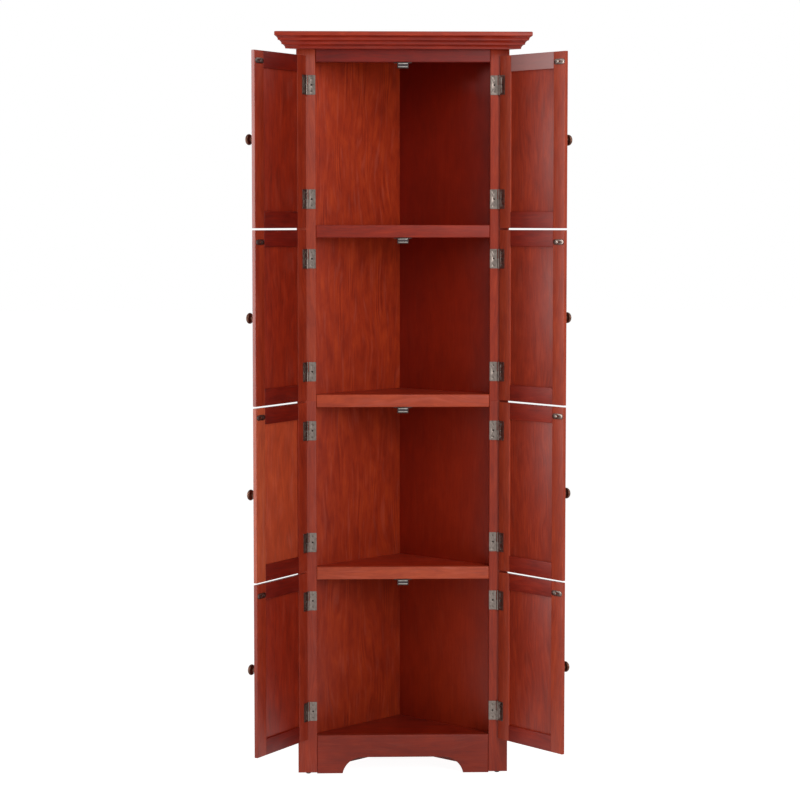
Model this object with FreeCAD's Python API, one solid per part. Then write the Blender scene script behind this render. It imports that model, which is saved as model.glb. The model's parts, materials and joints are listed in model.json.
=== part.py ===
import FreeCAD, Part
import math
import os

from FreeCAD import Vector

# Corner storage cabinet: a flat front of two posts, two side panels that run back at 45 degrees
# to one rear corner, four shelf levels and eight doors in four pairs, shown open.
# Sizes are in millimetres. +X is to the right, +Y runs back into the room corner, +Z is up.
# While it is being built, y = 0 is the front face of the posts and z = 0 is the floor.
# At the end the whole cabinet is moved so that the origin is under the rear glide.

# Overall sizes
cabinet_height = 1829.0
body_width = 521.0
panel_thickness = 10.0
post_width = 47.0
post_thickness = 19.0
post_easing = 1.2
panel_rebate_start = 12.0

# Top and crown
top_board_thickness = 11.0
top_board_overhang = 52.0
top_board_easing = 1.5
crown_height = 29.0
crown_head_setback = 1.5
crown_foot_reach = 24.0
crown_coves = 3
crown_cove_depth = 1.25
crown_quirk = 1.8
crown_nib = 2.4

# Rails, shelves and apron
rail_setback = 1.0
rail_easing = 1.8
top_rail_show = 30.5
shelf_rail_height = 31.0
shelf_thickness = 15.0
bottom_shelf_level = 97.5
tenon_length = 10.0
tenon_thickness = 8.0
tenon_shoulder = 6.0
tenon_clearance = 0.1
apron_floor_gap = 0.8
arch_width = 300.0
arch_height = 41.5
arch_radius = 50.0

# Glides
glide_height = 4.0
glide_radius = 6.5
glide_flat_radius = 3.5
glide_rim = 2.2
glide_wall_inset = 7.1
glide_post_inset = 25.5

# Doors. They fill the front from the apron to the top rail, and lap over both.
door_tiers = ("bottom", "lower", "upper", "top")
door_lap_on_apron = 9.5
door_lap_on_top_rail = 15.0
door_level_gap = 4.5
door_meeting_gap = 3.0
door_thickness = 11.0
door_easing = 2.2
stile_width = 39.0
door_rail_width = 40.0
door_panel_thickness = 3.5
door_panel_back_recess = 4.0
groove_depth = 8.0
groove_clearance = 0.1
groove_end_gap = 0.5
left_door_angle = 121.0
right_door_angle = 127.5

# How far each shelf stands above the lower edge of the doors in front of it
upper_shelf_lip = 7.5
middle_shelf_lip = 13.5
lower_shelf_lip = 8.5

# Lift-off butt hinges: the post's knuckle carries the pin, and the door's knuckle sits on top of it.
# The knuckles stand on the post, beside the door's edge, and a closed hinge has its leaves face to face.
hinge_height = 47.5
hinge_end_distance = 70.5
hinge_leaf_reach = 21.6
hinge_leaf_thickness = 1.2
hinge_leaf_gap = 0.2
hinge_leaf_corner = 1.5
hinge_axis_forward = 3.3
hinge_axis_to_door = 3.5
knuckle_radius = 3.0
knuckle_notch = 1.0
knuckle_gap = 0.25
knuckle_count = 2
pin_radius = 1.5
pin_clearance = 0.05
pin_head = 0.6

# Knobs. A reach is a distance from the door's face.
knob_foot_radius = 7.0
knob_foot_reach = 2.2
knob_neck_radius = 4.8
knob_neck_reach = 4.0
knob_waist_radius = 4.4
knob_waist_reach = 11.5
knob_bell_radius = 11.0
knob_bell_reach = 15.0
knob_radius = 13.5
knob_widest_reach = 18.0
knob_brow_radius = 12.6
knob_brow_reach = 21.5
knob_crown_radius = 6.5
knob_reach = 24.5
knob_sides = 18

# Knuckles, knobs and glides are small and many, so they are drawn with flats round them
barrel_sides = 14
glide_sides = 16

# Magnetic catches and their strike plates
catch_width = 27.0
catch_height = 14.5
catch_depth = 18.0
catch_front_gap = 1.3
catch_ear_reach = 8.5
catch_ear_thickness = 2.0
catch_ear_inset = 5.0
catch_ear_depth = 9.0
pole_width = 23.5
pole_plate_thickness = 1.4
pole_length = 13.0
magnet_thickness = 6.0
magnet_recess = 0.8
pole_pocket_clearance = 0.15
strike_length = 36.0
strike_height = 13.0
strike_thickness = 1.5
strike_drop = 2.0
strike_gap = 0.3
strike_end_steps = 6

# How far a cutting block runs past the piece that it cuts
cut_margin = 1.0

# Derived places
half_width = body_width / 2
half_opening = half_width - post_width
wall_step = panel_thickness * math.sqrt(2)
inner_wall = half_width - wall_step
rail_back = post_thickness
rail_thickness = rail_back - rail_setback
under_top = cabinet_height - top_board_thickness
crown_bottom = under_top - crown_height
top_rail_bottom = crown_bottom - top_rail_show
hinge_axis_x = half_opening + hinge_leaf_reach
door_edge_x = hinge_axis_x - hinge_axis_to_door
door_width = door_edge_x - door_meeting_gap / 2
door_back_y = -2 * hinge_leaf_thickness - hinge_leaf_gap
strike_face_y = door_back_y + strike_thickness
lowest_door_level = bottom_shelf_level - door_lap_on_apron
highest_door_top = top_rail_bottom + door_lap_on_top_rail
door_pitch = (highest_door_top - lowest_door_level + door_level_gap) / len(door_tiers)
door_height = door_pitch - door_level_gap
free_stile_x = door_edge_x - door_width + stile_width / 2
rear_glide_y = half_width - glide_wall_inset * math.sqrt(2)
door_levels = {tier: lowest_door_level + i * door_pitch for i, tier in enumerate(door_tiers)}
shelf_levels = {
    "upper": door_levels["top"] + upper_shelf_lip,
    "middle": door_levels["upper"] + middle_shelf_lip,
    "lower": door_levels["lower"] + lower_shelf_lip,
    "bottom": bottom_shelf_level,
}
catch_rail_bottoms = {
    "top": top_rail_bottom,
    "upper": shelf_levels["upper"] - shelf_rail_height,
    "lower": shelf_levels["middle"] - shelf_rail_height,
    "bottom": shelf_levels["lower"] - shelf_rail_height,
}


def box(x0, x1, y0, y1, z0, z1):
    """A block between two corners."""
    return Part.makeBox(x1 - x0, y1 - y0, z1 - z0, Vector(x0, y0, z0))


def plan_prism(outline, bottom, top):
    """An outline of (x, y) points, raised from one level to another."""
    points = [Vector(x, y, bottom) for x, y in outline]
    face = Part.Face(Part.makePolygon(points + points[:1]))
    return face.extrude(Vector(0, 0, top - bottom))


def section_prism(section, x0, x1):
    """A section of (y, z) points, drawn out along X."""
    points = [Vector(x0, y, z) for y, z in section]
    face = Part.Face(Part.makePolygon(points + points[:1]))
    return face.extrude(Vector(x1 - x0, 0, 0))


def mirrored(shape):
    """The same piece on the other side of the cabinet."""
    return shape.mirror(Vector(0, 0, 0), Vector(1, 0, 0))


def eased(shape, size, is_edge):
    """The shape with a small bevel on the edges that a test picks by their two ends."""
    edges = []
    for edge in shape.Edges:
        ends = [vertex.Point for vertex in edge.Vertexes]
        if len(ends) == 2 and is_edge(ends[0], ends[1]):
            edges.append(edge)
    return shape.makeChamfer(size, edges)


def near(a, b):
    """True where two coordinates are the same."""
    return abs(a - b) < 1e-4


def flat_ring(radius, height, sides):
    """Corners of a regular polygon about the Z axis."""
    turns = [2 * math.pi * i / sides for i in range(sides)]
    return [Vector(radius * math.cos(turn), radius * math.sin(turn), height) for turn in turns]


def turned(profile, sides):
    """A turned piece about the Z axis, with flats round it, from (height, radius) pairs going up."""
    rings = [flat_ring(radius, height, sides) for height, radius in profile]
    faces = [Part.Face(Part.makePolygon(ring + ring[:1])) for ring in (rings[0], rings[-1])]
    for low, high in zip(rings, rings[1:]):
        for i in range(sides):
            j = (i + 1) % sides
            corners = [low[i], low[j], high[j], high[i], low[i]]
            faces.append(Part.Face(Part.makePolygon(corners)))
    solid = Part.Solid(Part.Shell(faces))
    if solid.Volume < 0:
        solid.reverse()
    return solid


def barrel(inner_radius, height, base):
    """A barrel whose flats touch a circle of the radius given, as a bore or a knuckle has."""
    corner_radius = inner_radius / math.cos(math.pi / barrel_sides)
    piece = turned([(0, corner_radius), (height, corner_radius)], barrel_sides)
    return piece.translated(base)


def post_length(bottom, top):
    """A length of the right post: bevelled outside to the wall, rebated for the side panel."""
    outline = [
        (half_opening, 0),
        (half_width, 0),
        (half_width - post_thickness, post_thickness),
        (half_opening, post_thickness),
    ]
    length = plan_prism(outline, bottom, top)

    def inner_front_edge(a, b):
        on_front = near(a.y, 0) and near(b.y, 0)
        return on_front and near(a.x, half_opening) and near(b.x, half_opening)

    length = eased(length, post_easing, inner_front_edge)
    length = length.cut(right_side_panel())
    for tenon_bottom, tenon_top in tenon_levels():
        length = length.cut(
            box(
                half_opening,
                half_opening + tenon_length + groove_end_gap,
                *tenon_cheeks(tenon_clearance),
                tenon_bottom - tenon_clearance,
                tenon_top + tenon_clearance,
            )
        )
    return length


def right_post():
    """A front post. Its two lengths butt halfway up the middle shelf rail, whose tenon ties them."""
    joint = shelf_levels["middle"] - shelf_rail_height / 2
    return Part.makeCompound([post_length(glide_height, joint), post_length(joint, under_top)])


def tenon_cheeks(clearance):
    """Front and back of a tenon, or of its mortise when a clearance is given."""
    middle = rail_setback + rail_thickness / 2
    half = tenon_thickness / 2 + clearance
    return middle - half, middle + half


def rail_spans():
    """Bottom and top of every rail between the posts, by name."""
    spans = {"top_rail": (top_rail_bottom, under_top)}
    for name in ("upper", "middle", "lower"):
        level = shelf_levels[name]
        spans[name + "_shelf_rail"] = (level - shelf_rail_height, level)
    spans["apron"] = (apron_floor_gap, bottom_shelf_level)
    return spans


def tenon_span(bottom, top):
    """Bottom and top of the tenon on a rail, clear of the floor and of the post's end."""
    return max(bottom, glide_height) + tenon_shoulder, top - tenon_shoulder


def tenon_levels():
    """Every tenon's bottom and top."""
    return [tenon_span(*span) for span in rail_spans().values()]


def wall_point(y):
    """The point of the right wall plane at one depth."""
    return half_width - y, y


def right_side_panel():
    """The side panel on the right wall, which stops against the left one."""
    half_step = wall_step / 2
    front_x, front_y = wall_point(panel_rebate_start)
    outline = [
        (front_x, front_y),
        (half_step, half_width - half_step),
        (0, inner_wall),
        (front_x - half_step, front_y - half_step),
    ]
    return plan_prism(outline, glide_height, under_top)


def left_side_panel():
    """The side panel on the left wall, which runs through to the rear corner."""
    half_step = wall_step / 2
    front_x, front_y = wall_point(panel_rebate_start)
    outline = [
        (-front_x, front_y),
        (-front_x + half_step, front_y - half_step),
        (half_step, half_width - half_step),
        (0, half_width),
    ]
    return plan_prism(outline, glide_height, under_top)


def top_board():
    """The top, whose eased front edge is the crown's upper band."""
    front = half_width + top_board_overhang
    outline = [
        (-front, -top_board_overhang),
        (front, -top_board_overhang),
        (0, half_width),
    ]
    board = plan_prism(outline, under_top, cabinet_height)

    def front_edge(a, b):
        return near(a.y, -top_board_overhang) and near(b.y, -top_board_overhang) and near(a.z, b.z)

    return eased(board, top_board_easing, front_edge)


def cove(start, end, depth):
    """A hollow from one (y, z) point to another, sunk by a depth below the straight line."""
    (y0, z0), (y1, z1) = start, end
    length = math.hypot(y1 - y0, z1 - z0)
    middle_y = (y0 + y1) / 2 + depth * (z0 - z1) / length
    middle_z = (z0 + z1) / 2 + depth * (y1 - y0) / length
    return Part.Arc(Vector(0, y0, z0), Vector(0, middle_y, middle_z), Vector(0, y1, z1)).toShape()


def crown_moulding():
    """Coves in steps under the top board, cut off at each end in line with the wall."""
    head_y = crown_head_setback - top_board_overhang
    step_in = (-crown_foot_reach - head_y) / crown_coves
    step_down = crown_height / crown_coves
    edges = []
    here = Vector(0, head_y, under_top)
    start = Vector(0, 0, under_top)
    edges.append(Part.LineSegment(start, here).toShape())
    for step in range(crown_coves):
        low = under_top - (step + 1) * step_down
        next_y = here.y + step_in
        nib_y = next_y - crown_quirk
        nib_top = Vector(0, nib_y, low + crown_nib)
        nib_foot = Vector(0, nib_y, low)
        edges.append(cove((here.y, here.z), (nib_top.y, nib_top.z), crown_cove_depth))
        edges.append(Part.LineSegment(nib_top, nib_foot).toShape())
        here = Vector(0, next_y, low)
        edges.append(Part.LineSegment(nib_foot, here).toShape())
    foot = Vector(0, 0, crown_bottom)
    edges.append(Part.LineSegment(here, foot).toShape())
    edges.append(Part.LineSegment(foot, start).toShape())
    reach = half_width + top_board_overhang
    section = Part.Face(Part.Wire(edges))
    section.translate(Vector(-reach, 0, 0))
    moulding = section.extrude(Vector(2 * reach, 0, 0))
    corner = [(-reach, -top_board_overhang), (reach, -top_board_overhang), (0, half_width)]
    return moulding.common(plan_prism(corner, crown_bottom, under_top))


def rail(bottom, top):
    """A rail between the posts, eased round its face, with a stub tenon at each end."""
    blank = box(-half_opening, half_opening, rail_setback, rail_back, bottom, top)

    def face_edge(a, b):
        return near(a.y, rail_setback) and near(b.y, rail_setback)

    low, high = tenon_span(bottom, top)
    reach = half_opening + tenon_length
    return eased(blank, rail_easing, face_edge).fuse(box(-reach, reach, *tenon_cheeks(0), low, high))


def apron():
    """The rail at the floor, cut out below in a flat arch with a round at each end."""
    bottom, top = rail_spans()["apron"]
    half_arch = arch_width / 2
    drop = arch_height - bottom
    run = math.sqrt(drop * (2 * arch_radius - drop))
    half_turn = math.acos(1 - drop / arch_radius) / 2
    flat = half_arch - run
    bend_x = flat + arch_radius * math.sin(half_turn)
    bend_z = arch_height - arch_radius * (1 - math.cos(half_turn))
    y = -cut_margin
    right_foot = Vector(half_arch, y, bottom)
    left_foot = Vector(-half_arch, y, bottom)
    right_flat = Vector(flat, y, arch_height)
    left_flat = Vector(-flat, y, arch_height)
    edges = [
        Part.Arc(right_foot, Vector(bend_x, y, bend_z), right_flat).toShape(),
        Part.LineSegment(right_flat, left_flat).toShape(),
        Part.Arc(left_flat, Vector(-bend_x, y, bend_z), left_foot).toShape(),
        Part.LineSegment(left_foot, right_foot).toShape(),
    ]
    cut_out = Part.Face(Part.Wire(edges)).extrude(Vector(0, rail_back + 2 * cut_margin, 0))
    return rail(bottom, top).cut(cut_out)


def shelf(level):
    """A three-cornered board behind the rail and the posts, flush with the rail's top."""
    half = inner_wall - rail_back
    outline = [(-half, rail_back), (half, rail_back), (0, inner_wall)]
    return plan_prism(outline, level - shelf_thickness, level)


def catch_middle(rail_bottom):
    """The level of the middle of the catch under a rail."""
    return rail_bottom - catch_height / 2


def catch_housings():
    """A catch body with two ears under the middle of each rail that doors close on."""
    housings = []
    front = strike_face_y + catch_front_gap
    for rail_bottom in catch_rail_bottoms.values():
        half = catch_width / 2
        body = box(-half, half, front, front + catch_depth, rail_bottom - catch_height, rail_bottom)
        ear = half + catch_ear_reach
        ear_back = catch_ear_inset + catch_ear_depth
        ear_bottom = rail_bottom - catch_ear_thickness
        body = body.fuse(box(-ear, ear, catch_ear_inset, ear_back, ear_bottom, rail_bottom))
        middle = catch_middle(rail_bottom)
        half_pocket = pole_width / 2 + pole_pocket_clearance
        half_stack = magnet_thickness / 2 + pole_plate_thickness + pole_pocket_clearance
        pocket_back = pole_front_y() + pole_length
        low, high = middle - half_stack, middle + half_stack
        pocket = box(-half_pocket, half_pocket, front - cut_margin, pocket_back, low, high)
        housings.append(body.cut(pocket))
    return Part.makeCompound(housings)


def pole_front_y():
    """Front of the pole plates, just short of the strike plate of a closed door."""
    return strike_face_y + strike_gap


def catch_magnets():
    """In each catch a magnet between two pole plates that stand a little further out."""
    pieces = []
    half = pole_width / 2
    front = pole_front_y()
    back = front + pole_length
    for rail_bottom in catch_rail_bottoms.values():
        middle = catch_middle(rail_bottom)
        low = middle - magnet_thickness / 2
        high = middle + magnet_thickness / 2
        pieces.append(box(-half, half, front + magnet_recess, back, low, high))
        pieces.append(box(-half, half, front, back, low - pole_plate_thickness, low))
        pieces.append(box(-half, half, front, back, high, high + pole_plate_thickness))
    return Part.makeCompound(pieces)


def floor_glides():
    """Three domed glides: under each post and under the rear corner."""
    profile = [(0, glide_flat_radius), (glide_rim, glide_radius), (glide_height, glide_radius)]
    glide = turned(profile, glide_sides)
    places = [
        Vector(-half_width + glide_post_inset, post_thickness / 2, 0),
        Vector(half_width - glide_post_inset, post_thickness / 2, 0),
        Vector(0, rear_glide_y, 0),
    ]
    return Part.makeCompound([glide.translated(place) for place in places])


def hinge_bottoms(door_level):
    """The lower end of each hinge of a door."""
    low = door_level + hinge_end_distance - hinge_height / 2
    high = door_level + door_height - hinge_end_distance - hinge_height / 2
    return low, high


def knuckle_spans(bottom, first):
    """Bottom and top of every second knuckle of a hinge, from the first one given."""
    length = (hinge_height - (knuckle_count - 1) * knuckle_gap) / knuckle_count
    pitch = length + knuckle_gap
    return [(bottom + i * pitch, bottom + i * pitch + length) for i in range(first, knuckle_count, 2)]


def left_leaf(bottom, first_knuckle, plate_front):
    """A hinge leaf: a plate cut back beside the other leaf's knuckles, and its own knuckles."""
    plate_back = plate_front + hinge_leaf_thickness
    notch = knuckle_radius + knuckle_notch
    inner = -hinge_axis_x + hinge_leaf_reach
    plate = box(-hinge_axis_x + notch, inner, plate_front, plate_back, bottom, bottom + hinge_height)

    def outer_corner(a, b):
        return near(a.x, inner) and near(b.x, inner) and near(a.z, b.z)

    leaf = eased(plate, hinge_leaf_corner, outer_corner)
    axis_y = -hinge_axis_forward
    bore = pin_radius + pin_clearance
    for low, high in knuckle_spans(bottom, first_knuckle):
        base = Vector(-hinge_axis_x, axis_y, low)
        leaf = leaf.fuse(box(-hinge_axis_x, -hinge_axis_x + notch, plate_front, plate_back, low, high))
        leaf = leaf.fuse(barrel(knuckle_radius * math.cos(math.pi / barrel_sides), high - low, base))
    leaf = leaf.cut(barrel(bore, hinge_height, Vector(-hinge_axis_x, axis_y, bottom)))
    return leaf.removeSplitter()


def post_hinge_leaves():
    """The leaves on the posts, which have the lower knuckle of each hinge."""
    leaves = []
    for level in door_levels.values():
        for bottom in hinge_bottoms(level):
            leaf = left_leaf(bottom, 0, -hinge_leaf_thickness)
            leaves.append(leaf)
            leaves.append(mirrored(leaf))
    return Part.makeCompound(leaves)


def hinge_pins():
    """A pin through the knuckles of every hinge."""
    pins = []
    for level in door_levels.values():
        for bottom in hinge_bottoms(level):
            for side in (-1, 1):
                base = Vector(side * hinge_axis_x, -hinge_axis_forward, bottom - pin_head)
                pins.append(Part.makeCylinder(pin_radius, hinge_height + 2 * pin_head, base))
    return Part.makeCompound(pins)


def door_y(depth):
    """The y of a point in a closed door, at a depth forward of the door's back."""
    return door_back_y - depth


def stile(edge_x, side, level):
    """A door stile. Its outer edge is at edge_x and its groove faces the side given."""
    groove_back = door_panel_back_recess - groove_clearance
    groove_front = groove_back + door_panel_thickness + 2 * groove_clearance
    inner = stile_width
    floor = stile_width - groove_depth
    section = [
        (0, 0),
        (inner, 0),
        (inner, groove_back),
        (floor, groove_back),
        (floor, groove_front),
        (inner, groove_front),
        (inner, door_thickness),
        (door_easing, door_thickness),
        (0, door_thickness - door_easing),
    ]
    outline = [(edge_x + side * across, door_y(depth)) for across, depth in section]
    piece = plan_prism(outline, level, level + door_height)
    front = door_y(door_thickness)

    def end_edge(a, b):
        return near(a.y, front) and near(b.y, front) and near(a.z, b.z)

    return eased(piece, door_easing, end_edge)


def door_rail(outer_z, side):
    """A door rail with a stub tenon at each end. Its outer edge is at outer_z."""
    groove_back = door_panel_back_recess - groove_clearance
    groove_front = groove_back + door_panel_thickness + 2 * groove_clearance
    inner = door_rail_width
    floor = door_rail_width - groove_depth
    section = [
        (0, 0),
        (0, inner),
        (groove_back, inner),
        (groove_back, floor),
        (groove_front, floor),
        (groove_front, inner),
        (door_thickness, inner),
        (door_thickness, door_easing),
        (door_thickness - door_easing, 0),
    ]
    outline = [(door_y(depth), outer_z + side * across) for depth, across in section]
    x0 = -door_edge_x + stile_width
    x1 = -door_edge_x + door_width - stile_width
    reach = groove_depth - groove_end_gap
    tenon_back = door_y(door_panel_back_recess)
    tenon_front = tenon_back - door_panel_thickness
    z0, z1 = sorted((outer_z + side * door_easing, outer_z + side * floor))
    tenon = box(x0 - reach, x1 + reach, tenon_front, tenon_back, z0, z1)
    return section_prism(outline, x0, x1).fuse(tenon).removeSplitter()


def door_frame(level):
    """Two stiles and two rails of a closed left door."""
    free_x = -door_edge_x + door_width
    return Part.makeCompound(
        [
            stile(-door_edge_x, 1, level),
            stile(free_x, -1, level),
            door_rail(level, 1),
            door_rail(level + door_height, -1),
        ]
    )


def door_panel(level):
    """The thin panel, held loose in the grooves of the frame."""
    reach = groove_depth - groove_end_gap
    x0 = -door_edge_x + stile_width - reach
    x1 = -door_edge_x + door_width - stile_width + reach
    back = door_y(door_panel_back_recess)
    z0 = level + door_rail_width - reach
    z1 = level + door_height - door_rail_width + reach
    return box(x0, x1, back - door_panel_thickness, back, z0, z1)


def knob(level):
    """A turned knob on the middle of the free stile: a foot, a neck and a mushroom head."""
    profile = [
        (0, knob_foot_radius),
        (knob_foot_reach, knob_foot_radius),
        (knob_neck_reach, knob_neck_radius),
        (knob_waist_reach, knob_waist_radius),
        (knob_bell_reach, knob_bell_radius),
        (knob_widest_reach, knob_radius),
        (knob_brow_reach, knob_brow_radius),
        (knob_reach, knob_crown_radius),
    ]
    piece = turned(profile, knob_sides)
    piece.rotate(Vector(0, 0, 0), Vector(1, 0, 0), 90)
    return piece.translated(Vector(-free_stile_x, door_y(door_thickness), level + door_height / 2))


def strike_plate(centre_z):
    """A flat plate with round ends on the back of the free stile, where the catch's poles meet it."""
    radius = strike_height / 2
    straight = strike_length / 2 - radius
    points = []
    for end in (0, 1):
        for i in range(strike_end_steps + 1):
            turn = math.pi * (end + i / strike_end_steps) - math.pi / 2
            x = -free_stile_x + (1 - 2 * end) * straight + radius * math.cos(turn)
            points.append(Vector(x, door_back_y, centre_z + radius * math.sin(turn)))
    return Part.Face(Part.makePolygon(points + points[:1])).extrude(Vector(0, strike_thickness, 0))


def door_hinge_leaves(level):
    """The two leaves on the back of a door, which have the upper knuckle of each hinge."""
    return Part.makeCompound([left_leaf(bottom, 1, door_back_y) for bottom in hinge_bottoms(level)])


def door_pieces(tier):
    """Every piece of a closed left door, by name."""
    level = door_levels[tier]
    strike_level = catch_middle(catch_rail_bottoms[tier]) - strike_drop
    return {
        "door_frame": door_frame(level),
        "door_panel": door_panel(level),
        "knob": knob(level),
        "hinge_leaves": door_hinge_leaves(level),
        "strike_plate": strike_plate(strike_level),
    }


def opened(shape, side, angle):
    """A closed door piece swung open about its hinge axis. Side is -1 on the left, 1 on the right."""
    axis_point = Vector(side * hinge_axis_x, -hinge_axis_forward, 0)
    piece = shape.copy()
    piece.rotate(axis_point, Vector(0, 0, 1), side * angle)
    return piece


def build():
    """Every piece of the cabinet, by node name."""
    nodes = {
        "left_post": mirrored(right_post()),
        "right_post": right_post(),
        "left_side_panel": left_side_panel(),
        "right_side_panel": right_side_panel(),
        "top_board": top_board(),
        "crown_moulding": crown_moulding(),
        "apron": apron(),
        "catch_housings": catch_housings(),
        "catch_magnets": catch_magnets(),
        "post_hinge_leaves": post_hinge_leaves(),
        "hinge_pins": hinge_pins(),
        "floor_glides": floor_glides(),
    }
    for name, span in rail_spans().items():
        if name != "apron":
            nodes[name] = rail(*span)
    for name, level in shelf_levels.items():
        nodes[name + "_shelf"] = shelf(level)
    for tier in door_tiers:
        for name, piece in door_pieces(tier).items():
            nodes[tier + "_left_" + name] = opened(piece, -1, left_door_angle)
            nodes[tier + "_right_" + name] = opened(mirrored(piece), 1, right_door_angle)
    return nodes


os.makedirs("parts", exist_ok=True)
for node, shape in build().items():
    shape.translate(Vector(0, -rear_glide_y, 0))
    shape.exportStep("parts/" + node + ".step")
    print(node, len(shape.Solids), "solids", round(shape.Volume / 1000, 2), "cm3", shape.isValid())
print("rear glide behind the posts' face by", round(rear_glide_y, 3))
print("hinge axes at x", round(hinge_axis_x, 3), "and y", round(-hinge_axis_forward - rear_glide_y, 3))
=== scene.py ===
# %% [markdown]
# # A corner storage cabinet
#
# The real cabinet stands in the corner of a room. It is made of hardwood and veneered board under a
# red-brown cherry stain, with eight small frame-and-panel doors on lift-off hinges. Its CAD model already
# gives every piece its size and place, so this lesson only dresses it: it copies the wooden pieces and
# rounds their arrises, models the turned, stamped and moulded hardware again with all its detail, and
# gives each thing the finish that it was made with.

import json
import math
import random
from contextlib import contextmanager
from functools import partial

import bpy
from mathutils import Matrix, Vector

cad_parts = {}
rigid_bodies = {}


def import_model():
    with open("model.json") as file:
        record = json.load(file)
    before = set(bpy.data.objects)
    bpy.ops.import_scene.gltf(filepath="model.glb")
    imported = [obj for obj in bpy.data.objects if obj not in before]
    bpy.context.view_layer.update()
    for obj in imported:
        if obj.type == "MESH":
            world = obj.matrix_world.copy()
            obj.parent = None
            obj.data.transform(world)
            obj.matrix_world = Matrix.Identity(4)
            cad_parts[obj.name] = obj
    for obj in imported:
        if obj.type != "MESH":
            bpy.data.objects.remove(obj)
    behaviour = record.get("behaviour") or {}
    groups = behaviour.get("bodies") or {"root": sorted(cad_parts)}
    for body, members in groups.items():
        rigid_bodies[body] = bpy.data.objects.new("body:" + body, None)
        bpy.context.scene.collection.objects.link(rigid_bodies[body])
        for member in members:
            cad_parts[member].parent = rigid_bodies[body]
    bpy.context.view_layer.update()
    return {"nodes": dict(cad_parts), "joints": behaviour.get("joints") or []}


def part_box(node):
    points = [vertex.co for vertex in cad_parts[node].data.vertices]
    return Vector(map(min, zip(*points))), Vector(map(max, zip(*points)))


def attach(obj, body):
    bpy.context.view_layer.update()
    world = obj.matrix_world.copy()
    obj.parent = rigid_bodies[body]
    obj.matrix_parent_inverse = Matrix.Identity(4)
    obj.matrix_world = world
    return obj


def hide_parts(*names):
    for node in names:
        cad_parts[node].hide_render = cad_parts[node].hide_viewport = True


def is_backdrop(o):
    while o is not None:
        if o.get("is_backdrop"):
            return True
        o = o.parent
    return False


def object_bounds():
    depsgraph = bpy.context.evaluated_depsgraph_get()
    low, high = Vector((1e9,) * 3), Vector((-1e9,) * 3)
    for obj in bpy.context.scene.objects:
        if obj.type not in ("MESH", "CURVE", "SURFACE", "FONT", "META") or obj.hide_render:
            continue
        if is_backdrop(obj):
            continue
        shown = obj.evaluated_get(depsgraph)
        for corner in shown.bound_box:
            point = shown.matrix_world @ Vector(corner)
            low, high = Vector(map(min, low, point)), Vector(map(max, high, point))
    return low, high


MM = 0.001
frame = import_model()

# %% [markdown]
# ## The camera
#
# The picture was taken from about six metres with a long lens, from a little to the left of the middle and
# a little over half the cabinet's height. A wide lens close by would also take it all in, but a long one
# keeps the sides nearly upright, as they are in the picture. The place, the two angles and the lens were
# fitted to the posts, rails and door corners.

# %% Set the camera
CAMERA_PLACE = (-0.195, -6.026, 1.373)
CAMERA_TILT_DOWN = 4.351
CAMERA_TURN = -1.862
CAMERA_LENS = 105.94

bpy.ops.object.camera_add(
    location=CAMERA_PLACE,
    rotation=(math.radians(90 - CAMERA_TILT_DOWN), 0, math.radians(CAMERA_TURN)),
)
camera = bpy.context.object
camera.data.lens = CAMERA_LENS
bpy.context.scene.camera = camera
print("camera", CAMERA_LENS, "mm at", CAMERA_PLACE)

# %% [markdown]
# ## Small helpers for materials
#
# Shaders work in linear light, while colours are usually written as sRGB hex values. One function turns one
# into the other. A second one adds a shader node. Each of its inputs is given a plain value, one of another
# node's outputs, or that node itself, which stands for its first output. A material then reads as a list of
# nodes.

# %% Colours and nodes
def srgb(hex_colour):
    """A linear colour, with alpha, from an sRGB hex value such as #8c2a1a."""
    channels = [int(hex_colour[i : i + 2], 16) / 255 for i in (1, 3, 5)]
    linear = [c / 12.92 if c <= 0.04045 else ((c + 0.055) / 1.055) ** 2.4 for c in channels]
    return (*linear, 1.0)


def add_node(tree, kind, inputs=None, **settings):
    """Adds a shader node. Its inputs are values, outputs, or nodes that stand for their first output."""
    node = tree.nodes.new("ShaderNode" + kind)
    for name, value in settings.items():
        setattr(node, name, value)
    for key, source in (inputs or {}).items():
        if isinstance(source, bpy.types.Node):
            source = source.outputs[0]
        if isinstance(source, bpy.types.NodeSocket):
            tree.links.new(source, node.inputs[key])
        else:
            node.inputs[key].default_value = source
    return node


def new_material(name):
    """An empty material, and add_node for its node tree."""
    material = bpy.data.materials.new(name)
    material.use_nodes = True
    material.node_tree.nodes.clear()
    return material, partial(add_node, material.node_tree)


def set_stops(ramp, *stops):
    """Gives a colour ramp its stops, each a place from 0 to 1 and a hex colour."""
    elements = ramp.color_ramp.elements
    while len(elements) < len(stops):
        elements.new(0.5)
    for element, (place, colour) in zip(elements, stops):
        element.position = place
        element.color = srgb(colour)


print("a mid cherry stain in linear light:", [round(c, 3) for c in srgb("#8c2a1a")])

# %% [markdown]
# ## Grain that follows each board
#
# A board's figure runs along its length, and each board is cut from another place in the tree. The doors
# stand open at odd angles, so object coordinates alone would cut the figure askew. Each wooden piece
# therefore carries its own coordinates in an attribute called grain: across the board, through it, and
# along it, in metres, with a shift of its own. The patterns read that attribute.

# %% A stretched noise for wood
def stretched_noise(add, place, size_mm, detail=2.0, distortion=0.0):
    """Noise with features of a real width, and a real length along Z, both in millimetres."""
    across, along = (1 / (side * MM) for side in size_mm)
    scaled = add("Mapping", {"Vector": place, "Scale": (across, across, along)})
    return add("TexNoise", {"Vector": scaled, "Scale": 1.0, "Detail": detail, "Distortion": distortion})


print("the pattern for wood is ready")

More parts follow.
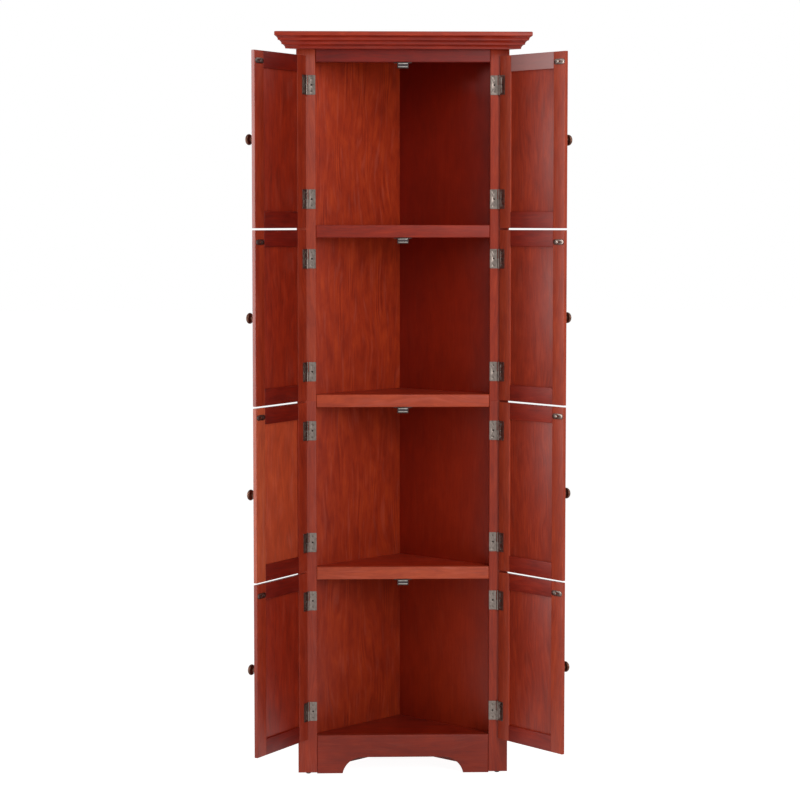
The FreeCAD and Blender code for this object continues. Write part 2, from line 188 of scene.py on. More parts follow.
# %% [markdown]
# ## Stained cherry
#
# Cherry-stained hardwood: sawn, sanded, stained red-brown, then sprayed with a satin lacquer. Broad soft
# flames run along the board, and where the saw met the growth rings square on they show as groups of narrow
# lines that close up and part again. The figured veneer also has small knots about 0.4 m apart that bend
# the rings round them. A picture of veneer could be laid on the boards, but it would repeat, so the figure
# is built from noises of real sizes instead. Real pores are about 0.1 mm wide, too fine to show from here,
# so they are drawn 0.7 mm wide.

# %% The figure of cherry
SIZES_MM = {
    "wander": (85.0, 420.0),
    "flames": (16.0, 100.0),
    "fibres": (2.2, 50.0),
    "blotches": (28.0, 50.0),
    "line groups": (40.0, 180.0),
    "smears": (9.0, 90.0),
    "pores": (0.7, 14.0),
}
WANDER = 90.0 * MM
KNOT_SPACING = (0.30, 0.42)
KNOT_PULL = 2.4 * MM


def knot_swirl(add, grain):
    """Small knots: how far each bends the rings, in metres, and how dark its core is."""
    scale = (1 / KNOT_SPACING[0], 0.0, 1 / KNOT_SPACING[1])
    cells = add("Mapping", {"Vector": grain, "Scale": scale})
    cell = add("TexVoronoi", {"Vector": cells, "Scale": 1.0, "Randomness": 0.9})
    distance = add("Math", {0: cell, 1: 0.06}, operation="ADD")
    swirl = add("Math", {0: KNOT_PULL, 1: distance}, operation="DIVIDE")
    core = add(
        "MapRange", {"Value": cell, "From Min": 0.012, "From Max": 0.05, "To Min": 0.62},
        interpolation_type="SMOOTHSTEP",
    )
    return swirl, core


def bent_grain(add, grain, has_knots):
    """The grain with its rings' wander, how far across each point then lies, and the knots' cores."""
    wander = stretched_noise(add, grain, SIZES_MM["wander"])
    centred = add("Math", {0: wander, 1: 0.5}, operation="SUBTRACT")
    shift = add("Math", {0: centred, 1: WANDER}, operation="MULTIPLY")
    core = 1.0
    if has_knots:
        swirl, core = knot_swirl(add, grain)
        shift = add("Math", {0: shift, 1: swirl}, operation="ADD")
    parts = add("SeparateXYZ", {"Vector": grain})
    across = add("Math", {0: parts, 1: shift}, operation="ADD")
    bent = add("CombineXYZ", {"X": across, "Y": parts.outputs["Y"], "Z": parts.outputs["Z"]})
    return bent, across, core


def figure_tone(add, grain, bent, across, fibres, line_mm, shares):
    """How light the figure is at each point, from flames, blotches, fibres and groups of ring lines."""
    flame_share, blotch_share, line_share = shares
    flames = stretched_noise(add, bent, SIZES_MM["flames"], distortion=0.2)
    blotches = stretched_noise(add, grain, SIZES_MM["blotches"], detail=3.0, distortion=0.4)
    turns = add("Math", {0: across, 1: math.tau / (line_mm * MM)}, operation="MULTIPLY")
    lines = add("Math", {0: turns}, operation="SINE")
    spread = stretched_noise(add, grain, SIZES_MM["line groups"], detail=1.0)
    groups = add(
        "MapRange", {"Value": spread, "From Min": 0.54, "From Max": 0.68, "To Max": line_share},
        interpolation_type="SMOOTHSTEP",
    )
    fibre_share = 1 - flame_share - blotch_share
    tone = 0.0
    for layer, share in (
        (flames, flame_share), (blotches, blotch_share), (fibres, fibre_share), (lines, groups),
    ):
        tone = add("Math", {0: layer, 1: share, 2: tone}, operation="MULTIPLY_ADD")
    return tone


print("sizes of the figure in mm:", SIZES_MM)

# %% [markdown]
# The stain sinks in unevenly, so there are blotches a shade darker or more orange, and pale smears where the
# fibres shut it out. Each board also carries an attribute that says how deep its colour is, how light it is,
# and how much of a pale pink painted sheen is mixed in. The depth and lightness are partly the board's own
# stain and partly painted light and shade. The lacquer adds a soft white sheen to faces that turn towards a
# light, which is why the same red looks pink on one door and deep on the next.

# %% The stained wood materials
MIX_A, MIX_B, MIX_RESULT = 6, 7, 2
TONE_STOPS = (0.36, 0.50, 0.66)
SMEAR = "#a8503f"
# A pale pink painted sheen, mixed into the colour where the board's attribute says.
PAINTED_SHEEN = "#c4a09c"
LACQUER_ROUGHNESS = 0.38
LACQUER_IOR = 1.47
LACQUER_GLOSS = 0.4


def stained_cherry(name, line_mm, shares, colours, smear_share, has_knots=False):
    """Cherry-stained wood. The shares say how strongly the flames, blotches and ring lines show."""
    material, add = new_material(name)
    grain = add("Attribute", attribute_name="grain").outputs["Vector"]
    # The board's attribute holds its colour's depth and lightness, partly stain and partly painted light and
    # shade, and the share of a painted sheen.
    coat = add("Attribute", attribute_name="coat").outputs["Vector"]
    coat = add("SeparateXYZ", {"Vector": coat})
    bent, across, core = bent_grain(add, grain, has_knots)
    fibres = stretched_noise(add, bent, SIZES_MM["fibres"])
    tone = figure_tone(add, grain, bent, across, fibres, line_mm, shares)
    ramp = add("ValToRGB", {"Fac": tone})
    set_stops(ramp, *zip(TONE_STOPS, colours))
    streaks = stretched_noise(add, bent, SIZES_MM["smears"], distortion=0.4)
    smears = add(
        "MapRange", {"Value": streaks, "From Min": 0.52, "From Max": 0.74, "To Max": smear_share},
        interpolation_type="SMOOTHSTEP",
    )
    smeared = add("Mix", {0: smears, MIX_A: ramp, MIX_B: srgb(SMEAR)}, data_type="RGBA")
    stained = add("Gamma", {"Color": smeared.outputs[MIX_RESULT], "Gamma": coat})
    pores = stretched_noise(add, grain, SIZES_MM["pores"], detail=1.0)
    ticks = add(
        "MapRange", {"Value": pores, "From Min": 0.26, "From Max": 0.42, "To Min": 0.84},
        interpolation_type="SMOOTHSTEP",
    )
    shade = add("Math", {0: ticks, 1: core}, operation="MULTIPLY")
    shade = add("Math", {0: shade, 1: coat.outputs["Y"]}, operation="MULTIPLY")
    shaded = add("Mix", {0: 1.0, MIX_A: stained, MIX_B: shade}, data_type="RGBA", blend_type="MULTIPLY")
    # Mixes in the painted sheen by the attribute's third value.
    sheened = add(
        "Mix", {0: coat.outputs["Z"], MIX_A: shaded.outputs[MIX_RESULT], MIX_B: srgb(PAINTED_SHEEN)},
        data_type="RGBA",
    )
    roughness = add(
        "MapRange", {"Value": fibres, "To Min": LACQUER_ROUGHNESS, "To Max": LACQUER_ROUGHNESS + 0.10}
    )
    relief = add("Math", {0: fibres, 1: 0.5, 2: ticks}, operation="MULTIPLY_ADD")
    bump = add("Bump", {"Height": relief, "Strength": 0.18, "Distance": 0.12 * MM})
    surface = add(
        "BsdfPrincipled",
        {
            "Base Color": sheened.outputs[MIX_RESULT], "Roughness": roughness, "Normal": bump,
            "IOR": LACQUER_IOR, "Specular IOR Level": LACQUER_GLOSS,
        },
    )
    add("OutputMaterial", {"Surface": surface})
    return material


stained_wood = stained_cherry(
    "stained_cherry", line_mm=7.0, shares=(0.32, 0.30, 0.04),
    colours=("#822512", "#942d14", "#a6381a"), smear_share=0.2,
)
stained_veneer = stained_cherry(
    "figured_cherry_veneer", line_mm=10.0, shares=(0.36, 0.40, 0.09),
    colours=("#802411", "#942e14", "#a63b19"), smear_share=0.3, has_knots=True,
)
plain_veneer = stained_cherry(
    "plain_cherry_veneer", line_mm=7.0, shares=(0.26, 0.32, 0.03),
    colours=("#802611", "#942d14", "#a83a1a"), smear_share=0.2,
)
even_veneer = stained_cherry(
    "even_cherry_veneer", line_mm=9.0, shares=(0.26, 0.44, 0.03),
    colours=("#8b2912", "#942d13", "#9d3216"), smear_share=0.1,
)
print("wood:", [wood.name for wood in (stained_wood, stained_veneer, plain_veneer, even_veneer)])

# %% [markdown]
# ## Pewter, bronze and plastic
#
# The hinges and strike plates are stamped steel under an antique pewter plate: a grey-brown metal, brushed
# along its length and darker where the plating is thin. The knobs are zinc castings with a dark bronze
# lacquer, and the hinges' middle screws are coloured near black. The catches are moulded in dark brown
# plastic and hold a black ferrite magnet between two zinc plated poles. The glides are black nylon. Real
# brush marks and mould grain are finer than 0.1 mm and wouldn't show, so they are drawn 0.5 and 0.6 mm wide.

# %% The metal and plastic materials
PATCH_MM = (7.0, 9.0)
GRIT_MM = (0.6, 0.6)
PLASTIC_IOR = 1.46
SURFACE_RELIEF = 0.05 * MM


def plated_metal(name, dark, light, roughness, brush_mm=(0.5, 14.0), metallic=1.0):
    """Brushed and plated metal. The brush marks run along Z, as wide and long as given."""
    material, add = new_material(name)
    place = add("TexCoord").outputs["Object"]
    marks = stretched_noise(add, place, brush_mm)
    patches = stretched_noise(add, place, PATCH_MM, detail=3.0)
    both = add("Math", {0: marks, 1: patches}, operation="ADD")
    tone = add("Math", {0: both, 1: 0.5}, operation="MULTIPLY")
    ramp = add("ValToRGB", {"Fac": tone})
    set_stops(ramp, (0.36, dark), (0.64, light))
    rough = add("MapRange", {"Value": patches, "To Min": roughness - 0.08, "To Max": roughness + 0.08})
    bump = add("Bump", {"Height": marks, "Strength": 0.2, "Distance": SURFACE_RELIEF})
    surface = add(
        "BsdfPrincipled", {"Base Color": ramp, "Roughness": rough, "Normal": bump, "Metallic": metallic}
    )
    add("OutputMaterial", {"Surface": surface})
    return material


def moulded_plastic(name, dark, light, roughness):
    """Moulded plastic with the fine even grain of a spark-eroded mould."""
    material, add = new_material(name)
    grit = stretched_noise(add, add("TexCoord").outputs["Object"], GRIT_MM)
    ramp = add("ValToRGB", {"Fac": grit})
    set_stops(ramp, (0.0, dark), (1.0, light))
    bump = add("Bump", {"Height": grit, "Strength": 0.3, "Distance": SURFACE_RELIEF})
    surface = add(
        "BsdfPrincipled", {"Base Color": ramp, "Roughness": roughness, "Normal": bump, "IOR": PLASTIC_IOR}
    )
    add("OutputMaterial", {"Surface": surface})
    return material


pewter = plated_metal("antique_pewter_plate", "#655a54", "#857a73", 0.30)
# Near black, for the dark spot at the middle screw of each hinge leaf.
near_black_steel = plated_metal("blackened_screw", "#1d1917", "#332d2a", 0.42)
screw_steel = plated_metal("pewter_screw", "#4a423d", "#7d736b", 0.42)
bronze = plated_metal("dark_bronze_lacquer", "#4a3026", "#765344", 0.30, brush_mm=(3.0, 5.0), metallic=0.85)
zinc = plated_metal("zinc_plated_pole", "#a29c96", "#cfcac4", 0.38)
brown_plastic = moulded_plastic("brown_moulded_plastic", "#2b1a16", "#3a2620", 0.45)
ferrite = moulded_plastic("ferrite_magnet", "#2d2326", "#443639", 0.6)
black_nylon = moulded_plastic("black_nylon", "#121212", "#202020", 0.4)
print("metals and plastics:", len(bpy.data.materials), "materials so far")

# %% [markdown]
# ## Helpers for modelling
#
# Most operators act on everything that is selected, so each piece starts by deselecting all. Faces and
# edges are then selected in code by their place. A finished piece keeps its object at the origin, with its
# place in its mesh, as the CAD pieces do.

# %% Selecting and finishing
MERGE = 0.002 * MM
NEAR = 0.01 * MM
SHARP = math.radians(30)


def only(piece):
    """Leaves one object selected and active, in object mode."""
    bpy.ops.object.select_all(action="DESELECT")
    piece.select_set(True)
    bpy.context.view_layer.objects.active = piece


@contextmanager
def editing():
    """Edit mode for the active piece, and object mode again at the end."""
    bpy.ops.object.mode_set(mode="EDIT")
    yield
    bpy.ops.object.mode_set(mode="OBJECT")


def select_where(piece, test, kind="VERT"):
    """In edit mode, selects the vertices, edges or faces whose centre passes a test."""
    bpy.ops.mesh.select_mode(type=kind)
    bpy.ops.mesh.select_all(action="DESELECT")
    bpy.ops.object.mode_set(mode="OBJECT")
    mesh = piece.data
    points = mesh.vertices
    if kind == "VERT":
        for vertex in points:
            vertex.select = test(vertex.co)
    elif kind == "EDGE":
        for edge in mesh.edges:
            edge.select = test((points[edge.vertices[0]].co + points[edge.vertices[1]].co) / 2)
    else:
        for face in mesh.polygons:
            face.select = test(face.center)
    bpy.ops.object.mode_set(mode="EDIT")


def finish_modifiers(piece):
    """Applies every modifier of a piece, in order."""
    only(piece)
    for modifier in list(piece.modifiers):
        bpy.ops.object.modifier_apply(modifier=modifier.name)


def smooth(piece, angle=35.0):
    """Smooth shading, with edges kept sharp past an angle."""
    only(piece)
    bpy.ops.object.shade_smooth_by_angle(angle=math.radians(angle))


def outward(piece):
    """Merges double points and turns every face outwards."""
    only(piece)
    with editing():
        bpy.ops.mesh.select_all(action="SELECT")
        bpy.ops.mesh.remove_doubles(threshold=MERGE)
        bpy.ops.mesh.normals_make_consistent(inside=False)


print("an edge is sharp past", round(math.degrees(SHARP)), "degrees")

# %% [markdown]
# A few plain solids are cut, joined and copied often. Each finished copy is dressed: it gets its material
# and its body, and takes the place of its CAD pieces.

# %% Plain solids, copies and dressing
QUARTER_TURN = Matrix.Rotation(math.pi / 2, 4, "X")


def extent(points):
    """The least and the greatest corner of some points."""
    low = Vector([min(point[i] for point in points) for i in range(3)])
    high = Vector([max(point[i] for point in points) for i in range(3)])
    return low, high


def block(x, y0, y1, z0, z1):
    """A box of width 2x about the middle, from y0 to y1 and z0 to z1."""
    bpy.ops.mesh.primitive_cube_add(size=1.0, location=(0, (y0 + y1) / 2, (z0 + z1) / 2))
    piece = bpy.context.object
    piece.scale = (2 * x, y1 - y0, z1 - z0)
    bpy.ops.object.transform_apply()
    return piece


def disc(sides, radius, depth, y=0.0):
    """A disc about Y, with its middle at y."""
    bpy.ops.mesh.primitive_cylinder_add(
        vertices=sides, radius=radius, depth=depth, location=(0, y, 0), rotation=(math.pi / 2, 0, 0)
    )
    bpy.ops.object.transform_apply()
    return bpy.context.object


def join(pieces):
    """Joins pieces into the first one."""
    only(pieces[0])
    for piece in pieces:
        piece.select_set(True)
    bpy.ops.object.join()
    return bpy.context.object


def cut_by(piece, cutter):
    """Cuts one piece out of another, and removes the cutter."""
    cut = piece.modifiers.new("cut", "BOOLEAN")
    cut.operation = "DIFFERENCE"
    cut.object = cutter
    finish_modifiers(piece)
    bpy.data.objects.remove(cutter)


def placed_copy(master, name, matrix):
    """A copy of a finished master piece with its own mesh, moved by a matrix."""
    mesh = master.data.copy()
    mesh.transform(matrix)
    if matrix.determinant() < 0:
        mesh.flip_normals()
    mesh.name = name
    piece = bpy.data.objects.new(name, mesh)
    bpy.context.scene.collection.objects.link(piece)
    return piece


def dress(piece, material, slot, body, *nodes):
    """Gives a piece its material, sets it on its body and hides the CAD nodes it stands for. The slot is not
    used.
    """
    piece.data.materials.clear()
    piece.data.materials.append(material)
    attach(piece, body)
    if nodes:
        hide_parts(*nodes)


def fit(master, name, matrix, *finish):
    """Fits a dressed copy of a master piece."""
    dress(placed_copy(master, name, matrix), *finish)


print("a quarter turn brings what points up to the front, and what faces the front down")

# %% [markdown]
# ## The doors' closed frame
#
# A pair of doors is the same door twice, mirrored, and each stands open at its own angle. It is far easier
# to model hardware on a closed left door, square to the axes, and to swing the finished copies open. The
# hinge axes and the stored angles come from the frame's joints.

# %% Where each door swings
TIERS = ("bottom", "lower", "upper", "top")
SIDES = {"left": -1, "right": 1}
SQUARE = Matrix.Identity(4)
MIRROR = Matrix.Scale(-1, 4, (1, 0, 0))
joints = {joint["name"]: joint for joint in frame["joints"]}
doors = {}
for tier in TIERS:
    for side_name, side in SIDES.items():
        name = tier + "_" + side_name
        joint = joints[name + "_door_hinge"]
        axis = Vector(joint["pos_m"])
        opening = math.radians(-joint["range_deg"][0]) * side
        swing = Matrix.Translation(axis) @ Matrix.Rotation(opening, 4, "Z") @ Matrix.Translation(-axis)
        mirror = MIRROR if side_name == "right" else SQUARE
        low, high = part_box(name + "_door_frame")
        doors[name] = {
            "body": name + "_door",
            "mirror": mirror,
            "swing": swing,
            "from_closed_left": swing @ mirror,
            "bottom": low.z,
            "top": high.z,
        }
hinge_axis_x, hinge_axis_y, _ = Vector(joints["top_right_door_hinge"]["pos_m"])
print("hinge axes at", round(hinge_axis_x / MM, 1), round(hinge_axis_y / MM, 1), "mm")

# %% [markdown]
# ## The wooden pieces
#
# The CAD pieces have the right shape, but their meshes are loose triangles, and one piece may hold several
# boards. So the boards are copied and parted, and each one's triangles are merged into whole faces. If they
# were merged first, boards that touch at a joint would hang together. So they are parted before that, by the
# order of their faces.

# %% Part the boards and merge their faces
def solid_starts(mesh):
    """The first face of each closed solid: faces come solid by solid, and one ends when no edge is open."""
    starts, open_edges = [0], set()
    for face in mesh.polygons:
        corners = [tuple(round(c, 6) for c in mesh.vertices[i].co) for i in face.vertices]
        for edge in zip(corners, corners[1:] + corners[:1]):
            if edge[::-1] in open_edges:
                open_edges.remove(edge[::-1])
            else:
                open_edges.add(edge)
        if not open_edges:
            starts.append(face.index + 1)
    return starts[:-1]


def node_solids(node, name):
    """Copies of a CAD node's solids, lowest first, with points merged and flat faces made whole."""
    mesh = frame["nodes"][node].data.copy()
    whole = bpy.data.objects.new(name, mesh)
    bpy.context.scene.collection.objects.link(whole)
    before = set(bpy.data.objects)
    starts = solid_starts(mesh)
    for start in reversed(starts[1:]):
        only(whole)
        with editing():
            bpy.ops.mesh.select_mode(type="FACE")
            bpy.ops.mesh.select_all(action="DESELECT")
        for face in whole.data.polygons:
            face.select = face.index >= start
        with editing():
            bpy.ops.mesh.separate(type="SELECTED")
    solids = [whole] + [new for new in bpy.data.objects if new not in before]
    for solid in solids:
        only(solid)
        with editing():
            bpy.ops.mesh.select_all(action="SELECT")
            bpy.ops.mesh.customdata_custom_splitnormals_clear()
            bpy.ops.mesh.remove_doubles(threshold=MERGE)
            bpy.ops.mesh.dissolve_limited(angle_limit=math.radians(0.5))
    return sorted(solids, key=lambda solid: min(vertex.co.z for vertex in solid.data.vertices))


print("boards in a door frame:", len(solid_starts(frame["nodes"]["top_left_door_frame"].data)))

# %% [markdown]
# The CAD pieces' arrises are knife-sharp. A sander takes a little under a millimetre off them, and that is
# what catches the light on the real rails, so a bevel rounds them. It is kept narrower than the shortest
# edge it meets, and a joint has steps of a tenth of a millimetre. So on the posts and door members only the
# long arrises of the front and back planes are rounded.

# %% Round the arrises
ARRIS = 0.8 * MM
LONG_EDGE = 12.0 * MM


def weigh_plane_arrises(piece, unswing):
    """Marks the long sharp edges that lie in a piece's front or back plane."""
    mesh = piece.data
    normals = {}
    for face in mesh.polygons:
        for key in face.edge_keys:
            normals.setdefault(key, []).append(face.normal)
    points = [unswing @ vertex.co for vertex in mesh.vertices]
    planes = min(point.y for point in points), max(point.y for point in points)
    weights = mesh.attributes.new("bevel_weight_edge", "FLOAT", "EDGE")
    for edge, weight in zip(mesh.edges, weights.data):
        start, end = (points[i] for i in edge.vertices)
        in_plane = any(max(abs(start.y - y), abs(end.y - y)) < 2 * NEAR for y in planes)
        sides = normals[edge.key]
        sharp = len(sides) == 2 and sides[0].angle(sides[1]) > SHARP
        weight.value = float(in_plane and sharp and (end - start).length > LONG_EDGE)


def round_arrises(piece, width=ARRIS, segments=2, unswing=None):
    """Rounds every sharp arris of a piece or, given its way back to square, only those of two planes."""
    if unswing is not None:
        weigh_plane_arrises(piece, unswing)
    bevel = piece.modifiers.new("arrises", "BEVEL")
    bevel.width = width
    bevel.segments = segments
    bevel.limit_method = "ANGLE" if unswing is None else "WEIGHT"
    bevel.angle_limit = SHARP
    bevel.use_clamp_overlap = True
    finish_modifiers(piece)
    smooth(piece)


print("an arris is rounded by", ARRIS / MM, "mm")

# %% [markdown]
# The grain coordinates are read with the board turned square. Three orders of the axes say which of them
# runs across, through and along the board, and a random shift takes it from another place in the tree. The
# depth and lightness of the colour are partly stain and partly painted light and shade. They can fade
# downwards into other values at the foot, which is painted light and shade, and a painted sheen lies on the
# back only.

# %% Give a board its grain and its coat
UPRIGHT = (0, 1, 2)
LEVEL_FACE = (2, 1, 0)
LEVEL_BOARD = (1, 2, 0)
dice = random.Random(1921)


def give_grain(piece, order, unswing=SQUARE, coat=(1.0, 1.0), foot_stain_and_light=None, back_sheen=0.0):
    """Writes a piece's grain coordinates, in an order of the axes, its colour's depth and lightness, and its
    share of painted sheen.
    """
    points = [unswing @ vertex.co for vertex in piece.data.vertices]
    low, high = extent(points)
    shift = Vector([dice.uniform(-4, 4) for _ in range(3)])
    attribute = piece.data.attributes.new("grain", "FLOAT_VECTOR", "POINT")
    for point, here in zip(points, attribute.data):
        here.vector = Vector([point[axis] for axis in order]) + shift
    attribute = piece.data.attributes.new("coat", "FLOAT_VECTOR", "POINT")
    foot, top = Vector(foot_stain_and_light or coat), Vector(coat)
    for point, here in zip(points, attribute.data):
        share = (point.z - low.z) / (high.z - low.z)
        # Depth and lightness fade from the foot value to the top one, which on the side panels is painted
        # light and shade; a painted sheen lies on the back face.
        here.vector = (*foot.lerp(top, share), back_sheen if high.y - point.y < 10 * NEAR else 0.0)


print("orders of the axes:", UPRIGHT, "upright,", LEVEL_FACE, "and", LEVEL_BOARD, "level")

# %% [markdown]
# The carcass first. The posts and the side panels have their grain upright. The rails, the crown and the
# apron have it level, and so have the shelves and the top board, where it runs from side to side. Each post
# is in two lengths of different boards, which butt behind the middle doors' gap. One colour for them all
# would look moulded, so each board has its own depth and lightness of colour, partly its stain and partly
# painted light and shade. The side panels' colour changes towards the foot as painted light and shade: the
# left one darker there, the right one lighter.

# %% Dress the carcass
SHELF_ARRIS = 1.5 * MM
# For each node: its material, the order of its grain's axes, and each board's depth and lightness of colour,
# partly stain and partly painted light and shade.
carcass = {
    "left_post": (stained_wood, UPRIGHT, (0.97, 1.11), (0.90, 1.17)),
    "right_post": (stained_wood, UPRIGHT, (1.00, 1.07), (1.01, 1.20)),
    "left_side_panel": (stained_veneer, UPRIGHT, (1.01, 1.48)),
    "right_side_panel": (even_veneer, UPRIGHT, (1.34, 1.28)),
    "top_board": (stained_wood, LEVEL_BOARD, (1.07, 1.43)),
    "crown_moulding": (stained_wood, LEVEL_FACE, (1.19, 1.27)),
    "top_rail": (stained_wood, LEVEL_FACE, (1.42, 1.16)),
    "upper_shelf_rail": (stained_wood, LEVEL_FACE, (1.13, 1.25)),
    "middle_shelf_rail": (stained_wood, LEVEL_FACE, (0.83, 1.39)),
    "lower_shelf_rail": (stained_wood, LEVEL_FACE, (0.79, 1.28)),
    "apron": (stained_wood, LEVEL_FACE, (1.05, 0.87)),
    "upper_shelf": (stained_veneer, LEVEL_BOARD, (1.10, 1.19)),
    "middle_shelf": (stained_veneer, LEVEL_BOARD, (1.10, 1.19)),
    "lower_shelf": (stained_veneer, LEVEL_BOARD, (1.17, 1.37)),
    "bottom_shelf": (stained_veneer, LEVEL_BOARD, (1.29, 0.96)),
}
panel_turns = {
    "left_side_panel": Matrix.Rotation(math.radians(-45), 4, "Z"),
    "right_side_panel": Matrix.Rotation(math.radians(45), 4, "Z"),
}
# Painted light and shade: the side panels' colour at the foot, the left one darker there and the right one
# lighter.
panel_foot_stain_and_light = {"left_side_panel": (1.01, 1.07), "right_side_panel": (0.99, 1.50)}
boards = []
for node, (material, order, *stains_and_light) in carcass.items():
    turn = panel_turns.get(node, SQUARE)
    slot = "stained_wood" if material is stained_wood else "stained_veneer"
    endings = ("_lower_length", "_upper_length") if node.endswith("_post") else ("_board",)
    for board, ending, coat in zip(node_solids(node, node + "_board"), endings, stains_and_light):
        board.name = board.data.name = node + ending
        if node.endswith("_post"):
            round_arrises(board, unswing=SQUARE)
        else:
            round_arrises(board, SHELF_ARRIS if node.endswith("_shelf") else ARRIS)
        give_grain(board, order, turn, coat, panel_foot_stain_and_light.get(node))
        dress(board, material, slot, "cabinet", node)
        boards.append(board.name)
print("carcass boards:", len(boards))

# %% [markdown]
# A door frame is four members, two stiles and two rails, in one CAD piece. They are parted, because the
# stiles' grain is upright and the rails' grain is level. The outer front arris of a door is rounded more
# than the rest: the CAD piece has a bevel there, and rounding the bevel's own edges makes it a soft curve.

# %% Dress the doors
DOOR_ARRIS = 1.0 * MM
PANEL_ARRIS = 0.3 * MM


def member_name(member, door, unswing):
    """Which of the four members of a frame this is, by its middle when the door is closed."""
    low, high = extent([unswing @ vertex.co for vertex in member.data.vertices])
    middle = (low + high) / 2
    if high.z - low.z > (door["top"] - door["bottom"]) / 2:
        return "free_stile" if abs(middle.x) < hinge_axis_x / 2 else "hinge_stile"
    return "upper_rail" if middle.z > (door["top"] + door["bottom"]) / 2 else "lower_rail"


# The doors' rails are deeper and darker than their stiles: painted shade for how the light falls on level
# grain.
member_stains_and_light = {
    "left": {"stile": (1.01, 1.01), "rail": (1.40, 0.84), "panel": (1.15, 1.07)},
    "right": {"stile": (0.90, 1.21), "rail": (1.23, 1.13), "panel": (1.03, 1.14)},
}
PALE_DOOR, PALE_MEMBERS, PALE_STAIN_AND_LIGHT = "lower_left", ("free_stile", "panel"), (0.73, 1.22)
# A painted sheen, mixed in at 0.55, on the back of the top right door's upper rail.
SHEENED_MEMBER, BACK_SHEEN = ("top_right", "upper_rail"), 0.55


def member_coat(name, kind):
    """The depth and lightness of colour of a door's stile, rail or panel, partly stain and partly painted
    light and shade.
    """
    depth, lightness = member_stains_and_light[name.split("_")[1]][kind.split("_")[-1]]
    if name == PALE_DOOR and kind in PALE_MEMBERS:
        depth, lightness = depth * PALE_STAIN_AND_LIGHT[0], lightness * PALE_STAIN_AND_LIGHT[1]
    return depth, lightness


for name, door in doors.items():
    unswing = door["swing"].inverted()
    kinds = []
    for member in node_solids(name + "_door_frame", name + "_member"):
        kind = member_name(member, door, unswing)
        kinds.append(kind)
        member.name = member.data.name = name + "_" + kind
        round_arrises(member, DOOR_ARRIS, 3, unswing)
        order = UPRIGHT if "stile" in kind else LEVEL_FACE
        sheen = BACK_SHEEN if (name, kind) == SHEENED_MEMBER else 0.0
        give_grain(member, order, unswing, member_coat(name, kind), back_sheen=sheen)
        dress(member, stained_wood, "stained_wood", door["body"], name + "_door_frame")
    print(name, "door frame:", ", ".join(kinds))
    panel = node_solids(name + "_door_panel", name + "_panel_board")[0]
    panel.data.name = panel.name
    round_arrises(panel, PANEL_ARRIS)
    give_grain(panel, UPRIGHT, unswing, member_coat(name, "panel"))
    dress(panel, plain_veneer, "stained_veneer", door["body"], name + "_door_panel")
print("doors dressed:", len(doors))

# %% [markdown]
# ## Hinges
#
# The doors hang on lift-off hinges of stamped steel. A leaf is one strip of sheet: flat where it is
# screwed on, and rolled round the pin over half its height. The door's knuckle sits on top of the post's,
# so the door can be lifted off. The flats of a closed hinge lie face to face behind the pin, so the two
# leaves leave their rolls at different levels. A leaf is modelled the way it is made: a flat strip is
# notched, its edge is spun round the pin, and only then does it get its thickness. It is modelled at the
# origin, with the pin along Z.

# %% Stamp the two leaves
HINGE_HEIGHT = 47.5 * MM
HINGE_END = 70.5 * MM
LEAF_REACH = 21.6 * MM
LEAF_SHEET = 1.2 * MM
LEAF_CORNER = 1.6 * MM
LEAF_LEVELS = {"post": 2.7 * MM, "door": -1.3 * MM}
ROLL_ANGLES = {"post": math.radians(305), "door": math.radians(-283)}
NOTCH = 4.0 * MM
ROLL_RADIUS = 2.4 * MM
KNUCKLE_GAP = 0.25 * MM
PIN_RADIUS = 1.7 * MM
HOLE_X = 12.0 * MM
HOLE_STEP = 15.5 * MM
HOLE_RADIUS = 2.7 * MM
HOLE_NARROWING = 0.45
SHEET_ARRIS = 0.15 * MM


def stamped_leaf(middle_y, roll_angle):
    """A leaf with its knuckle on the lower half and its flat at a level before or behind the pin's axis."""
    bpy.ops.mesh.primitive_plane_add(size=1.0, rotation=(math.pi / 2, 0, 0))
    leaf = bpy.context.object
    leaf.scale = (LEAF_REACH, HINGE_HEIGHT, 1.0)
    leaf.location = (LEAF_REACH / 2, middle_y, 0)
    bpy.ops.object.transform_apply()
    with editing():
        for place, normal in (((NOTCH, 0, 0), (1, 0, 0)), ((0, 0, -KNUCKLE_GAP / 2), (0, 0, 1))):
            bpy.ops.mesh.select_all(action="SELECT")
            bpy.ops.mesh.bisect(plane_co=place, plane_no=normal)
        select_where(leaf, lambda at: at.x < NOTCH * 0.9 and at.z > 0, "FACE")
        bpy.ops.mesh.delete(type="FACE")
        select_where(leaf, lambda at: at.x > LEAF_REACH * 0.99 and abs(at.z) > HINGE_HEIGHT * 0.49)
        bpy.ops.mesh.bevel(offset=LEAF_CORNER, segments=4, affect="VERTICES")
        select_where(leaf, lambda at: at.x < NOTCH * 0.1)
        bpy.ops.transform.translate(value=(0, math.copysign(ROLL_RADIUS, middle_y) - middle_y, 0))
        select_where(leaf, lambda at: at.x < NOTCH * 0.1, "EDGE")
        bpy.ops.mesh.spin(steps=16, angle=roll_angle, center=(0, 0, 0), axis=(0, 0, 1))
    outward(leaf)
    sheet = leaf.modifiers.new("sheet", "SOLIDIFY")
    sheet.thickness = LEAF_SHEET
    sheet.offset = 0.0
    finish_modifiers(leaf)
    return leaf


def countersink_cutter(places, depth, radius):
    """Cones that open towards -Y, one for each place, as one cutter."""
    cones = []
    for place in places:
        bpy.ops.mesh.primitive_cone_add(
            vertices=24, radius1=radius * HOLE_NARROWING, radius2=radius, depth=depth,
            location=place, rotation=(math.pi / 2, 0, 0),
        )
        cones.append(bpy.context.object)
    cutter = join(cones)
    bpy.ops.object.transform_apply()
    return cutter


